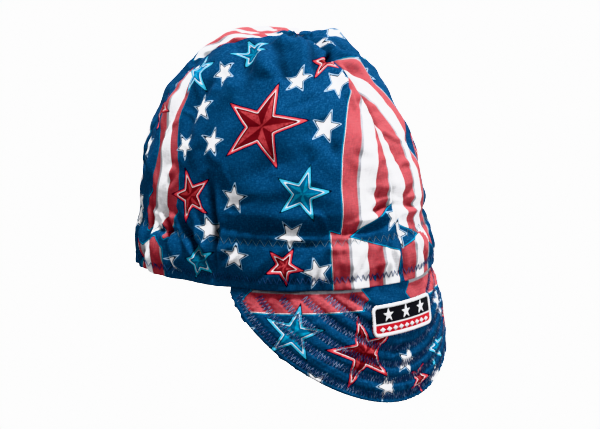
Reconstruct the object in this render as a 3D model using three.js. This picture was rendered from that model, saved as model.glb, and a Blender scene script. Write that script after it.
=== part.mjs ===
// Soft cotton work cap in the form it has on a head: three crown panels with a turned-up hem,
// a padded brim that hangs from the hem, and a small patch sewn to the brim.
// Millimetres, +Z up, the front toward -Y. The origin is the centre of the head opening.

import * as THREE from 'three';

// Crown, measured on the outside of the cloth.
const openingLength = 194;
const openingWidth = 168;
const crownHeight = 153;
// The apex lies this far in front of the middle of the opening.
const apexForward = 10;
// The seams draw the very top in by this much.
const apexTuck = 9;
// The hem is higher at the front than at the back, and a little higher at the sides.
const hemTilt = 3;
const hemSag = 0.9;

// Cloth, doubled below hemHeight where the hem is turned up inside.
const clothWall = 1.2;
const hemWall = 1.8;
const hemHeight = 30;
const hemEdge = 4;

// Panels: two sides that meet in the front seam, and a back between them.
// The angle is counted from the front, and the seam turns forward near the apex.
const backSeamAngle = 136;
const backSeamTurn = 24;
const seamGap = 0.3;
// Radius left open where the tips of the panels meet.
const apexOpening = 0.6;

// Soft form of the cloth.
const foldDepth = 4;
const waistDepth = 1.6;
const seamDepth = 1.2;
const gatherDepth = 1.6;
const gatherCount = 30;
const gatherHeight = 42;

// Brim, sewn in behind the hem over this angle in all.
const brimAngle = 147;
const brimLength = 73;
const brimWall = 3;
const brimTuck = 7;
// How far the hanging brim stands out at the middle, how much more at its sides, the angle
// where that is most, and the drop over which it bends out.
const brimFrontOut = 5.5;
const brimSideOut = 10;
const brimSideAngle = 59;
const brimBend = 23;
// A higher power gives the brim's outline a more pointed middle.
const brimCrescent = 0.94;
// What shows of the brim below the hem at its two ends.
const brimEnd = 3;

// Patch on the middle of the brim.
const patchWidth = 54;
const patchHeight = 19;
const patchCorner = 4;
const patchWall = 1.2;
const patchDrop = 11;
// The patch sits this far to the wearer's right of the middle.
const patchAside = 1.5;
const patchGap = 0.3;

// Colours of the plain solids.
const navyCloth = new THREE.Color(0x123f73);
const redCloth = new THREE.Color(0xb53a41);
const navyQuilt = new THREE.Color(0x0f3763);
const paleThread = new THREE.Color(0xe4e4e8);

// Mesh fineness.
const sideColumns = 28;
const backColumns = 30;
const crownRows = 26;
const brimColumns = 34;
const brimRows = 9;
const tuckRows = 2;
const patchColumns = 12;
const patchRows = 8;

// Crown sections from hem to apex. Heights are shares of crownHeight, and the reaches
// are shares of half the opening's length (front, back) or width (side).
const sections = [
  { height: 0.000, front: 1.000, side: 1.000, back: 1.000 },
  { height: 0.120, front: 0.980, side: 1.012, back: 1.010 },
  { height: 0.275, front: 0.935, side: 0.955, back: 1.035 },
  { height: 0.440, front: 0.872, side: 0.915, back: 1.030 },
  { height: 0.590, front: 0.765, side: 0.815, back: 0.975 },
  { height: 0.715, front: 0.630, side: 0.715, back: 0.855 },
  { height: 0.825, front: 0.455, side: 0.570, back: 0.715 },
  { height: 0.910, front: 0.290, side: 0.415, back: 0.560 },
  { height: 0.972, front: 0.140, side: 0.230, back: 0.340 },
  { height: 1.000, front: 0.000, side: 0.000, back: 0.000 },
];

// Folds: the angle from the front toward the wearer's right, the half-width in degrees,
// the height and half-height as shares of crownHeight, and the depth as a share of foldDepth.
// A negative depth is a ridge.
const folds = [
  { name: 'front pinch', angle: 0, spread: 26, height: 0.93, reach: 0.12, depth: 1.0 },
  { name: 'front seam crease', angle: 0, spread: 30, height: 0.33, reach: 0.07, depth: 0.35 },
  { name: 'right front valley', angle: 44, spread: 15, height: 0.86, reach: 0.17, depth: 0.8 },
  { name: 'right valley', angle: 88, spread: 16, height: 0.88, reach: 0.15, depth: 0.8 },
  { name: 'right ridge', angle: 66, spread: 12, height: 0.86, reach: 0.14, depth: -0.4 },
  { name: 'right rear ridge', angle: 112, spread: 13, height: 0.84, reach: 0.14, depth: -0.4 },
  { name: 'right side dent', angle: 98, spread: 30, height: 0.40, reach: 0.16, depth: 0.5 },
  { name: 'left front valley', angle: -42, spread: 15, height: 0.86, reach: 0.17, depth: 0.7 },
  { name: 'left valley', angle: -84, spread: 17, height: 0.87, reach: 0.15, depth: 0.8 },
  { name: 'left ridge', angle: -63, spread: 12, height: 0.85, reach: 0.14, depth: -0.4 },
  { name: 'left side dent', angle: -92, spread: 28, height: 0.42, reach: 0.16, depth: 0.5 },
  { name: 'back dent', angle: 178, spread: 26, height: 0.62, reach: 0.20, depth: 0.6 },
];

const radians = THREE.MathUtils.degToRad;
const smooth = THREE.MathUtils.smoothstep;

// A soft bump: 1 at offset 0, falling to 0 at a distance of one reach.
function bump(offset, reach) {
  const share = Math.min(Math.abs(offset) / reach, 1);
  return (1 - share * share) ** 2;
}

// An angle brought between -180 and 180 degrees, in radians.
function wrapped(angle) {
  return Math.atan2(Math.sin(angle), Math.cos(angle));
}

// One column of the sections as a smooth curve: x is the reach, z the height.
function profile(column) {
  const points = sections.map((row) => new THREE.Vector3(row[column], 0, row.height));
  return new THREE.CatmullRomCurve3(points, false, 'catmullrom');
}

const profiles = { front: profile('front'), side: profile('side'), back: profile('back') };

// Half the opening in one direction, times a share, kept clear of the apex opening.
function reachOf(half, share) {
  return apexOpening + (half - apexOpening) * share;
}

// The smooth crown without folds. The place goes from 0 at the hem to 1 at the apex.
function smoothCrown(angle, place) {
  const lengthwise = Math.cos(angle) > 0 ? profiles.front : profiles.back;
  const along = reachOf(openingLength / 2, lengthwise.getPoint(place).x);
  const side = profiles.side.getPoint(place);
  const across = reachOf(openingWidth / 2, side.x);
  const hemLift = hemTilt * Math.cos(angle) - hemSag * Math.cos(2 * angle);
  return new THREE.Vector3(
    -across * Math.sin(angle),
    -along * Math.cos(angle) - apexForward * side.z ** 3,
    crownHeight * side.z + hemLift * (1 - side.z) ** 2,
  );
}

// The outward direction of a surface that is a function of an angle and a place.
function outward(surface, angle, place) {
  const step = 0.002;
  const across = surface(angle + step, place).sub(surface(angle - step, place));
  const up = surface(angle, Math.min(place + step, 1)).sub(surface(angle, Math.max(place - step, 0)));
  return up.cross(across).normalize();
}

// Toward the apex a direction turns upright, so the tips of the panels stay apart.
function upright(direction, place) {
  return direction.lerp(new THREE.Vector3(0, 0, 1), smooth(place, 0.9, 1)).normalize();
}

// The angle of the seam between a side panel and the back panel at one height share.
function backSeam(height) {
  return radians(backSeamAngle - backSeamTurn * smooth(height, 0.84, 0.95));
}

// How far the cloth lies inside the smooth crown.
function dent(angle, height) {
  let depth = 0;
  for (const fold of folds) {
    const aside = bump(wrapped(angle - radians(fold.angle)), radians(fold.spread));
    depth += foldDepth * fold.depth * aside * bump(height - fold.height, fold.reach);
  }
  depth += apexTuck * smooth(height, 0.93, 1);
  // The stitching that holds the turned-up hem draws the cloth in.
  depth += waistDepth * bump(height - (hemHeight + hemEdge) / crownHeight, 0.08);
  // Each seam lies in a shallow valley that fades toward the hem.
  const fade = smooth(height, 0.10, 0.45);
  const seams = [0, backSeam(height), -backSeam(height)];
  for (const seam of seams) {
    depth += seamDepth * fade * bump(wrapped(angle - seam), radians(9));
  }
  // Elastic in the back of the hem gathers the cloth.
  const back = smooth(Math.abs(wrapped(angle)), radians(backSeamAngle - 38), radians(backSeamAngle));
  const low = 1 - smooth(height * crownHeight, gatherHeight / 4, gatherHeight);
  depth += gatherDepth * back * low * Math.cos(gatherCount * angle);
  return depth;
}

// The outer face of the crown cloth.
function crownFace(angle, place) {
  const height = profiles.side.getPoint(place).z;
  const direction = upright(outward(smoothCrown, angle, place), place);
  return smoothCrown(angle, place).addScaledVector(direction, -dent(angle, height));
}

// The place on the crown at a height above the hem.
function placeAt(height) {
  let low = 0;
  let high = 1;
  for (let step = 0; step < 24; step += 1) {
    const middle = (low + high) / 2;
    if (profiles.side.getPoint(middle).z * crownHeight < height) low = middle;
    else high = middle;
  }
  return (low + high) / 2;
}

// A closed wall between two grids of points: near the viewer outside, and far inside.
function closedWall(columns, rows, outer, inner) {
  const positions = [];
  const indices = [];
  for (const face of [outer, inner]) {
    for (let row = 0; row <= rows; row += 1) {
      for (let column = 0; column <= columns; column += 1) {
        const point = face(column / columns, row / rows);
        positions.push(point.x, point.y, point.z);
      }
    }
  }
  const layer = (columns + 1) * (rows + 1);
  const outside = (column, row) => row * (columns + 1) + column;
  const inside = (column, row) => layer + outside(column, row);
  const quad = (a, b, c, d) => indices.push(a, b, c, a, c, d);
  for (let row = 0; row < rows; row += 1) {
    for (let column = 0; column < columns; column += 1) {
      quad(outside(column, row), outside(column, row + 1),
        outside(column + 1, row + 1), outside(column + 1, row));
      quad(inside(column, row), inside(column + 1, row),
        inside(column + 1, row + 1), inside(column, row + 1));
    }
    quad(outside(0, row), inside(0, row), inside(0, row + 1), outside(0, row + 1));
    quad(outside(columns, row), outside(columns, row + 1),
      inside(columns, row + 1), inside(columns, row));
  }
  for (let column = 0; column < columns; column += 1) {
    quad(outside(column, 0), outside(column + 1, 0), inside(column + 1, 0), inside(column, 0));
    quad(outside(column, rows), inside(column, rows),
      inside(column + 1, rows), outside(column + 1, rows));
  }
  const geometry = new THREE.BufferGeometry();
  geometry.setAttribute('position', new THREE.Float32BufferAttribute(positions, 3));
  geometry.setIndex(indices);
  geometry.computeVertexNormals();
  return geometry;
}

// The wall of the crown at a height share: doubled in the hem, then single.
function wallAt(height) {
  const above = smooth(height * crownHeight, hemHeight - hemEdge, hemHeight);
  return THREE.MathUtils.lerp(hemWall, clothWall, above);
}

// One crown panel between two seams. Each seam is an angle as a function of the height share.
function crownPanel(columns, startSeam, endSeam) {
  const angleAt = (share, place) => {
    const height = profiles.side.getPoint(place).z;
    const start = startSeam(height);
    const end = endSeam(height);
    const centre = new THREE.Vector3(0, -apexForward * height ** 3, 0);
    const clearance = (seam) => {
      const rim = smoothCrown(seam, place).sub(centre).setZ(0);
      return Math.asin(seamGap / 2 / rim.length());
    };
    return THREE.MathUtils.lerp(start + clearance(start), end - clearance(end), share);
  };
  const outer = (share, place) => crownFace(angleAt(share, place), place);
  const inner = (share, place) => {
    const angle = angleAt(share, place);
    const height = profiles.side.getPoint(place).z;
    const direction = outward(crownFace, angle, place);
    if (share === 0 || share === 1) {
      // At a seam the wall has no lean across the seam line, so the gap is even.
      const step = 0.01;
      const above = Math.min(place + step, 1);
      const below = Math.max(place - step, 0);
      const along = smoothCrown(angleAt(share, above), above);
      along.sub(smoothCrown(angleAt(share, below), below));
      const aside = along.cross(outward(smoothCrown, angle, place)).normalize();
      direction.addScaledVector(aside, -direction.dot(aside)).normalize();
    }
    return crownFace(angle, place).addScaledVector(upright(direction, place), -wallAt(height));
  };
  return closedWall(columns, crownRows, outer, inner);
}

// The outer face of the brim. The side goes from -1 to 1 across, and the drop is the
// distance below the hem along the cloth, negative where the brim is tucked in behind it.
function brimFace(side, drop) {
  const angle = side * radians(brimAngle / 2);
  const place = placeAt(Math.max(-drop, 0));
  const direction = outward(smoothCrown, angle, place);
  const point = crownFace(angle, place).addScaledVector(direction, -hemWall - seamGap);
  if (drop > 0) {
    const level = direction.setZ(0).normalize();
    const turn = Math.min(Math.abs(angle) / radians(brimSideAngle), 2);
    const stand = brimFrontOut + brimSideOut * Math.sin(turn * Math.PI / 2) ** 2;
    const out = stand * (1 - Math.exp(-drop / brimBend));
    point.addScaledVector(level, out);
    point.z -= drop;
  }
  return point;
}

// The outward direction of the brim's face.
function brimOutward(side, drop) {
  const step = 0.01;
  const across = brimFace(side + step, drop).sub(brimFace(side - step, drop));
  const down = brimFace(side, drop + 1).sub(brimFace(side, drop - 1));
  return across.cross(down).normalize();
}

// How far the brim's edge hangs below the hem.
function brimDrop(side) {
  return brimEnd + (brimLength - brimEnd) * (1 - side * side) ** brimCrescent;
}

function brim() {
  // The share goes up from the free edge past the hem to the tucked edge.
  const rows = brimRows + tuckRows;
  const hanging = brimRows / rows;
  const dropAt = (side, share) => {
    if (share <= hanging) return brimDrop(side) * (1 - share / hanging);
    return brimTuck * (hanging - share) / (1 - hanging);
  };
  const outer = (share, height) => {
    const side = 2 * share - 1;
    return brimFace(side, dropAt(side, height));
  };
  const inner = (share, height) => {
    const side = 2 * share - 1;
    const drop = dropAt(side, height);
    return brimFace(side, drop).addScaledVector(brimOutward(side, drop), -brimWall);
  };
  return closedWall(brimColumns, rows, outer, inner);
}

// The patch follows the brim's face, with rounded corners.
function patch() {
  const arc = brimFace(0.1, patchDrop).distanceTo(brimFace(-0.1, patchDrop)) / 0.2;
  const place = (share, height) => {
    const rise = (height - 0.5) * patchHeight;
    const corner = Math.max(Math.abs(rise) - (patchHeight / 2 - patchCorner), 0);
    const half = patchWidth / 2 - patchCorner + Math.sqrt(Math.max(patchCorner ** 2 - corner ** 2, 0));
    const side = ((2 * share - 1) * half + patchAside) / arc;
    const drop = patchDrop + patchHeight / 2 - rise;
    return { side, drop };
  };
  const raised = (lift) => (share, height) => {
    const { side, drop } = place(share, height);
    return brimFace(side, drop).addScaledVector(brimOutward(side, drop), lift);
  };
  return closedWall(patchColumns, patchRows, raised(patchGap + patchWall), raised(patchGap));
}

function cloth(color, roughness) {
  return new THREE.MeshStandardMaterial({ color, roughness, metalness: 0 });
}

function addPiece(name, geometry, material) {
  const mesh = new THREE.Mesh(geometry, material);
  mesh.name = name;
  cap.add(mesh);
}

const frontSeam = () => 0;
const rightSeam = (height) => backSeam(height);
const leftSeam = (height) => -backSeam(height);
const leftSeamFromBehind = (height) => 2 * Math.PI - backSeam(height);

const cap = new THREE.Group();
addPiece('crown_right', crownPanel(sideColumns, frontSeam, rightSeam), cloth(navyCloth, 0.9));
addPiece('crown_left', crownPanel(sideColumns, leftSeam, frontSeam), cloth(navyCloth, 0.9));
addPiece('crown_back', crownPanel(backColumns, rightSeam, leftSeamFromBehind), cloth(redCloth, 0.9));
addPiece('brim', brim(), cloth(navyQuilt, 0.9));
addPiece('patch', patch(), cloth(paleThread, 0.75));

export default cap;
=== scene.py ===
"""Looks of a soft cotton work cap: printed crown panels, turned-up hem, quilted brim and patch.

Sizes are in millimetres, as on the solids, and vertices are written in metres. The front faces -Y.
Angles are counted from the front toward the wearer's right."""
import math

import bpy
import numpy as np
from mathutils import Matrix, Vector


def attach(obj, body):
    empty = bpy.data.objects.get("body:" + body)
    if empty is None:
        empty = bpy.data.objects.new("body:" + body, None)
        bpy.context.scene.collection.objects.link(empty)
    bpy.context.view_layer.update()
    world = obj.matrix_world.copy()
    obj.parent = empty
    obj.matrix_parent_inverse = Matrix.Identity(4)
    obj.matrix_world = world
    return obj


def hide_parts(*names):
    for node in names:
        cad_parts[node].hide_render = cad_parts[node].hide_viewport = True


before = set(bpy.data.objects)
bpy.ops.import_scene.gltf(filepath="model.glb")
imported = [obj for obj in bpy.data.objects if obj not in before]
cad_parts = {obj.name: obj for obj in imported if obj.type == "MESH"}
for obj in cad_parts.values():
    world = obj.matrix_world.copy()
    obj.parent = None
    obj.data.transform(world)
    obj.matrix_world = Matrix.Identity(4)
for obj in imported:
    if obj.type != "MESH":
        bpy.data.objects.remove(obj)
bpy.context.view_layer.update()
bpy.ops.object.select_all(action="DESELECT")

MM = 0.001

# Crown, as on the solids.
OPENING_LENGTH = 194.0
OPENING_WIDTH = 168.0
CROWN_HEIGHT = 153.0
APEX_FORWARD = 10.0
APEX_TUCK = 9.0
APEX_OPENING = 0.6
HEM_TILT = 3.0
HEM_SAG = 0.9
HEM_HEIGHT = 30.0
HEM_EDGE = 4.0
CLOTH_WALL = 1.2
HEM_WALL = 1.8
BACK_SEAM_ANGLE = 136.0
BACK_SEAM_TURN = 24.0
SEAM_GAP = 0.02
FOLD_DEPTH = 4.0
WAIST_DEPTH = 1.6
SEAM_DEPTH = 1.2
GATHER_DEPTH = 1.6
GATHER_COUNT = 30
GATHER_HEIGHT = 42.0

# Brim, as on the solids.
BRIM_ANGLE = 147.0
BRIM_LENGTH = 73.0
BRIM_WALL = 3.0
BRIM_TUCK = 7.0
BRIM_FRONT_OUT = 5.5
BRIM_SIDE_OUT = 10.0
BRIM_SIDE_ANGLE = 59.0
BRIM_BEND = 23.0
BRIM_CRESCENT = 0.94
BRIM_END = 3.0
BRIM_GAP = 0.3

# Patch, as on the solids.
PATCH_WIDTH = 54.0
PATCH_HEIGHT = 19.0
PATCH_CORNER = 4.0
PATCH_WALL = 1.2
PATCH_DROP = 11.0
PATCH_ASIDE = 1.5

# Patch stitches: distance between satin stitches, their thread, and the border's inset and pitch.
SATIN_PITCH = 0.34
SATIN_THREAD = 0.36
BORDER_INSET = 1.1
BORDER_PITCH = 0.85

# Stitching. Rows on the hem are heights above its edge, rows on the brim lie in from its edge.
HEM_ROWS = [
    {"name": "upper", "height": 28.4, "pitch": 5.2, "width": 4.2, "thread": 0.27, "pucker": 8.6},
    {"name": "lower", "height": 6.2, "pitch": 3.4, "width": 4.2, "thread": 0.38, "pucker": 7.0},
]
QUILT_FIRST = 4.3
QUILT_PITCH = 9.6
QUILT_ROWS = 6
QUILT_ZIG = 1.9
QUILT_WIDTH = 4.8
QUILT_THREAD = 0.37
QUILT_SINK = 1.35

# Grid spacing of the cloth, the hem's mean radius, samples of a curve, and the angle in degrees
# above which an edge stays sharp.
CELL = 1.0
BRIM_CELL = 0.7
HEM_RADIUS = 88
CURVE_SAMPLES = 2001
EDGE_SAMPLES = 1601
SHARP_ANGLE = 50

# Print: width of a red and a white stripe, size of a small star, softness of the ink's edge.
STRIPE_PAIR = 23.0
SMALL_STAR = 14.5
INK_EDGE = 0.16

# Seeds of the random draws.
SEEDS = {"right": 11, "left": 12, "back": 13, "brim": 53}
BRIM_CRUMPLE_SEED = 41

# Picture: millimetres and pixels of the photograph, and the camera's place.
PIXEL = 0.627
PICTURE_WIDTH = 600
PICTURE_MIDDLE = (14.7, 46.8)
CAMERA_AZIMUTH = -48.35
CAMERA_ELEVATION = 11.6
CAMERA_DISTANCE = 1.5
SENSOR_WIDTH = 36.0

# Light from the surround, the camera's own view of it, and the floor's height in metres.
SKY_LIGHT = 0.07
SKY_SEEN = 1.5
FLOOR_LEVEL = -0.42

# How much darker the colour is painted in the deepest crease, as painted shade, and how much deeper than
# listed the wrinkles are.
CREASE_SHADE = 0.68
WRINKLE_STRENGTH = 1.6

# Crown profile: shares of its height, and of its reach to the front, the side and the back.
SECTIONS = {
    "height": [0.000, 0.120, 0.275, 0.440, 0.590, 0.715, 0.825, 0.910, 0.972, 1.000],
    "front": [1.000, 0.980, 0.935, 0.872, 0.765, 0.630, 0.455, 0.290, 0.140, 0.000],
    "side": [1.000, 1.012, 0.955, 0.915, 0.815, 0.715, 0.570, 0.415, 0.230, 0.000],
    "back": [1.000, 1.010, 1.035, 1.030, 0.975, 0.855, 0.715, 0.560, 0.340, 0.000],
}

# Broad folds, as on the solids: angle and half-width in degrees, height and half-height as shares
# of the crown's height, and depth as a share of FOLD_DEPTH. A negative depth is a ridge.
FOLDS = [
    # Front pinch, and the crease of the front seam.
    (0, 26, 0.93, 0.12, 1.0),
    (0, 30, 0.33, 0.07, 0.35),
    # Right side: two valleys, two ridges and a dent.
    (44, 15, 0.86, 0.17, 0.8),
    (88, 16, 0.88, 0.15, 0.8),
    (66, 12, 0.86, 0.14, -0.4),
    (112, 13, 0.84, 0.14, -0.4),
    (98, 30, 0.40, 0.16, 0.5),
    # Left side: two valleys, a ridge and a dent.
    (-42, 15, 0.86, 0.17, 0.7),
    (-84, 17, 0.87, 0.15, 0.8),
    (-63, 12, 0.85, 0.14, -0.4),
    (-92, 28, 0.42, 0.16, 0.5),
    # Back dent.
    (178, 26, 0.62, 0.20, 0.6),
]

# Fine wrinkles of the crown: a path through points (angle in degrees, share of the height), then
# width and depth in mm. A negative depth is a ridge.
WRINKLES = [
    # Right panel, folds that run down from the apex.
    ([(100, 0.957), (76, 0.938), (58, 0.909), (50, 0.854), (46, 0.79)], 5.6, 2.4),
    ([(110, 0.945), (83, 0.914), (66, 0.868), (60, 0.80)], 6.0, -1.3),
    ([(116, 0.93), (96, 0.896), (90, 0.854), (88, 0.79)], 5.6, 1.9),
    ([(60, 0.95), (44, 0.91), (36, 0.86), (33, 0.82)], 5.5, -1.5),
    ([(22, 0.95), (21, 0.90), (25, 0.84), (30, 0.77)], 4.2, 1.9),
    ([(10, 0.86), (10, 0.80), (9, 0.70)], 2.8, -1.1),
    ([(4, 0.84), (5, 0.77), (4, 0.68)], 2.4, 1.0),
    ([(104, 0.92), (96, 0.86), (90, 0.78), (91, 0.70)], 5.0, -1.2),
    ([(84, 0.87), (78, 0.80), (76, 0.70)], 4.6, 1.2),
    # Right panel, the side and the front seam.
    ([(66, 0.74), (63, 0.64), (68, 0.54)], 6.0, 1.0),
    ([(104, 0.82), (105, 0.66), (100, 0.52)], 5.0, 1.3),
    ([(118, 0.70), (121, 0.50), (119, 0.32)], 5.0, 1.3),
    ([(80, 0.42), (70, 0.45), (56, 0.50), (46, 0.50)], 8.0, 1.4),
    ([(88, 0.62), (91, 0.52), (88, 0.44)], 5.5, 1.1),
    ([(34, 0.64), (25, 0.52), (18, 0.43)], 5.5, 1.0),
    ([(15, 0.62), (11, 0.52), (9, 0.44)], 4.0, -0.9),
    ([(14, 0.375), (8, 0.35), (2, 0.355)], 2.6, 1.0),
    ([(14, 0.295), (7, 0.315), (1, 0.32)], 2.3, 1.9),
    ([(22, 0.27), (11, 0.275), (3, 0.285)], 2.3, -1.1),
    ([(31, 0.222), (17, 0.235), (4, 0.245)], 2.4, 1.5),
    # Right panel, above and below the upper row of stitches.
    ([(80, 0.235), (60, 0.243), (40, 0.238), (24, 0.236)], 2.8, 1.1),
    ([(74, 0.30), (52, 0.292), (30, 0.285)], 4.6, -1.0),
    ([(86, 0.44), (84, 0.34), (80.5, 0.22), (80, 0.15), (78.5, 0.03)], 3.0, 2.7),
    ([(93, 0.28), (88, 0.21), (85, 0.16)], 3.4, -1.4),
    ([(101, 0.27), (95, 0.206), (90.5, 0.171), (85.5, 0.126), (82, 0.06)], 2.9, 3.0),
    ([(77, 0.09), (74, 0.13), (70, 0.16)], 2.2, 1.0),
    ([(63, 0.04), (56, 0.10), (49, 0.165)], 2.8, 1.0),
    ([(56, 0.03), (48, 0.09), (43, 0.14)], 2.6, -0.7),
    ([(42, 0.03), (36, 0.11), (33, 0.17)], 2.8, 0.9),
    ([(27, 0.03), (20, 0.10), (16, 0.17)], 2.6, 1.1),
    ([(13, 0.03), (11, 0.09), (10, 0.15)], 2.4, -0.9),
    ([(7, 0.155), (5, 0.10), (3, 0.04)], 2.1, 1.4),
    # Right panel, upright folds at the end of the elastic.
    ([(101, 0.175), (98.5, 0.12), (96, 0.04)], 4.2, -2.2),
    ([(110, 0.29), (106, 0.22), (103.5, 0.18), (103, 0.10), (101.5, 0.02)], 2.7, 3.4),
    ([(112, 0.188), (106, 0.183), (99, 0.196)], 1.8, 1.5),
    ([(117, 0.242), (108, 0.236), (99, 0.246)], 3.0, -1.2),
    ([(112, 0.19), (110, 0.12), (108, 0.04)], 4.0, -2.0),
    ([(119, 0.32), (117, 0.20), (116, 0.10), (114, 0.02)], 2.6, 2.8),
    ([(125, 0.20), (122, 0.12), (120, 0.05)], 3.6, -1.9),
    ([(133, 0.25), (133, 0.16), (128, 0.08), (124, 0.03)], 2.7, 2.6),
    # Left panel.
    ([(-108, 0.95), (-88, 0.92), (-70, 0.88), (-58, 0.82)], 5.6, 2.3),
    ([(-52, 0.94), (-44, 0.89), (-40, 0.82)], 5.0, -1.4),
    ([(-24, 0.95), (-22, 0.89), (-27, 0.81), (-29, 0.74)], 4.2, 1.9),
    ([(-14, 0.97), (-13, 0.91), (-14, 0.84), (-15, 0.74)], 4.6, -1.9),
    ([(-3, 0.90), (-4, 0.84), (-6, 0.76)], 2.6, 1.3),
    ([(-98, 0.88), (-94, 0.80), (-95, 0.68)], 5.0, -1.1),
    ([(-78, 0.84), (-76, 0.72), (-80, 0.60)], 5.0, 1.2),
    ([(-112, 0.78), (-108, 0.62), (-112, 0.48)], 5.2, 1.3),
    ([(-90, 0.46), (-76, 0.50), (-60, 0.47)], 7.0, 1.3),
    ([(-40, 0.60), (-30, 0.50), (-20, 0.44)], 5.5, 1.0),
    ([(-15, 0.36), (-8, 0.335), (-2, 0.34)], 2.6, 1.2),
    ([(-18, 0.29), (-9, 0.30), (-2, 0.305)], 2.4, 1.6),
    ([(-24, 0.255), (-13, 0.262), (-4, 0.27)], 2.4, -1.0),
    ([(-30, 0.23), (-48, 0.24), (-70, 0.236)], 2.8, 1.1),
    ([(-36, 0.28), (-56, 0.29), (-76, 0.285)], 4.4, -0.9),
    ([(-88, 0.38), (-86, 0.26), (-90, 0.14), (-88, 0.04)], 2.8, 1.9),
    ([(-20, 0.03), (-14, 0.10), (-10, 0.165)], 2.6, 1.1),
    ([(-38, 0.03), (-31, 0.11), (-28, 0.17)], 2.8, 0.9),
    ([(-60, 0.04), (-52, 0.11), (-48, 0.165)], 2.8, 1.0),
    ([(-78, 0.04), (-71, 0.10), (-67, 0.16)], 2.6, 1.0),
    ([(-102, 0.32), (-105, 0.20), (-101, 0.05)], 3.0, 2.2),
    ([(-110, 0.31), (-112, 0.18), (-110, 0.04)], 3.6, -1.5),
    ([(-119, 0.32), (-118, 0.20), (-120, 0.04)], 3.0, 2.4),
    ([(-128, 0.28), (-127, 0.14), (-128, 0.04)], 3.2, -1.3),
    # Back panel.
    ([(158, 0.90), (156, 0.76), (160, 0.62)], 6.0, 1.6),
    ([(186, 0.92), (190, 0.78), (186, 0.66)], 6.0, 1.7),
    ([(172, 0.86), (173, 0.72), (171, 0.56)], 5.5, -1.2),
    ([(204, 0.84), (206, 0.66), (202, 0.50)], 5.5, 1.2),
    ([(150, 0.44), (166, 0.40), (184, 0.43), (200, 0.41)], 6.5, 1.4),
    ([(146, 0.36), (144, 0.22), (146, 0.06)], 3.0, 1.8),
    ([(164, 0.34), (167, 0.20), (165, 0.05)], 3.2, 1.6),
    ([(190, 0.36), (187, 0.20), (189, 0.05)], 3.0, 1.8),
    ([(211, 0.33), (213, 0.18), (211, 0.05)], 3.0, 1.6),
]

# Deep pits that cross a seam: angle, share of the height, turn of the long side, half-length,
# half-width and depth.
PITS = [
    (0.5, 0.889, 42, 9.0, 2.6, 7.0),
    (-5.0, 0.90, 42, 9.0, 3.4, -1.6),
    (3.0, 0.30, 12, 9.0, 2.0, 1.6),
]

# Wrinkles of the brim: points in cloth millimetres, width and depth.
BRIM_WRINKLES = [
    ([(15, -42), (5, -38.5), (-5, -37.5)], 1.9, 1.9),
    ([(13, -46), (3, -43), (-7, -42.5)], 1.8, 1.3),
    ([(2, -63), (1, -69)], 1.6, 1.0),
    ([(62, -8), (52, -20), (44, -27)], 4.0, 0.8),
    ([(32, -14), (26, -24), (23, -34)], 5.0, -0.8),
    ([(-34, -16), (-28, -28), (-24, -38)], 4.6, 0.9),
    ([(-52, -12), (-57, -22), (-60, -30)], 4.4, -0.7),
]


# Helpers


def smooth(value, low, high):
    """0 below low, 1 above high, and a soft step between."""
    share = np.clip((value - low) / (high - low), 0, 1)
    return share * share * (3 - 2 * share)


def bump(offset, reach):
    """1 at offset 0, falling softly to 0 at a distance of one reach."""
    share = np.minimum(np.abs(offset) / reach, 1)
    return (1 - share * share) ** 2


def bell(offset, width):
    """1 at offset 0, falling off as a bell curve."""
    return np.exp(-((offset / width) ** 2))


def wrapped(angle):
    """The angle between -pi and pi."""
    return np.arctan2(np.sin(angle), np.cos(angle))


def unit(vectors):
    return vectors / np.maximum(np.linalg.norm(vectors, axis=-1, keepdims=True), 1e-12)


def run_lengths(line):
    """Length along a line of points, from 0 at its start."""
    return np.concatenate([[0], np.cumsum(np.linalg.norm(np.diff(line, axis=0), axis=1))])


def spline(column, place):
    """Smooth curve through one column of SECTIONS: place is 0 at the hem and 1 at the apex."""
    values = np.array(SECTIONS[column])
    padded = np.concatenate([[2 * values[0] - values[1]], values, [2 * values[-1] - values[-2]]])
    spot = np.clip(place, 0, 1) * (len(values) - 1)
    index = np.minimum(spot.astype(int), len(values) - 2)
    share = spot - index
    before, start, end, after = (padded[index + k] for k in range(4))
    bend = 2 * before - 5 * start + 4 * end - after
    twist = 3 * start - before - 3 * end + after
    return 0.5 * (2 * start + (end - before) * share + bend * share**2 + twist * share**3)


# Crown form


PLACES = np.linspace(0, 1, CURVE_SAMPLES)
HEIGHTS = spline("height", PLACES)


def reach_of(half, share):
    return APEX_OPENING + (half - APEX_OPENING) * share


def smooth_crown(angle, place):
    """Points of the crown without folds."""
    along_share = np.where(np.cos(angle) > 0, spline("front", place), spline("back", place))
    height = spline("height", place)
    along = reach_of(OPENING_LENGTH / 2, along_share)
    across = reach_of(OPENING_WIDTH / 2, spline("side", place))
    hem_lift = HEM_TILT * np.cos(angle) - HEM_SAG * np.cos(2 * angle)
    x = -across * np.sin(angle)
    y = -along * np.cos(angle) - APEX_FORWARD * height**3
    z = CROWN_HEIGHT * height + hem_lift * (1 - height) ** 2
    return np.stack([x, y, z], axis=-1)


def outward(surface, angle, place):
    step = 0.002
    across = surface(angle + step, place) - surface(angle - step, place)
    up = surface(angle, np.minimum(place + step, 1)) - surface(angle, np.maximum(place - step, 0))
    return unit(np.cross(up, across))


def upright(direction, place):
    """Toward the apex a direction turns upright."""
    share = smooth(place, 0.9, 1)[..., None]
    return unit(direction * (1 - share) + np.array([0.0, 0.0, 1.0]) * share)


def back_seam(height):
    return np.radians(BACK_SEAM_ANGLE - BACK_SEAM_TURN * smooth(height, 0.84, 0.95))


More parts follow.
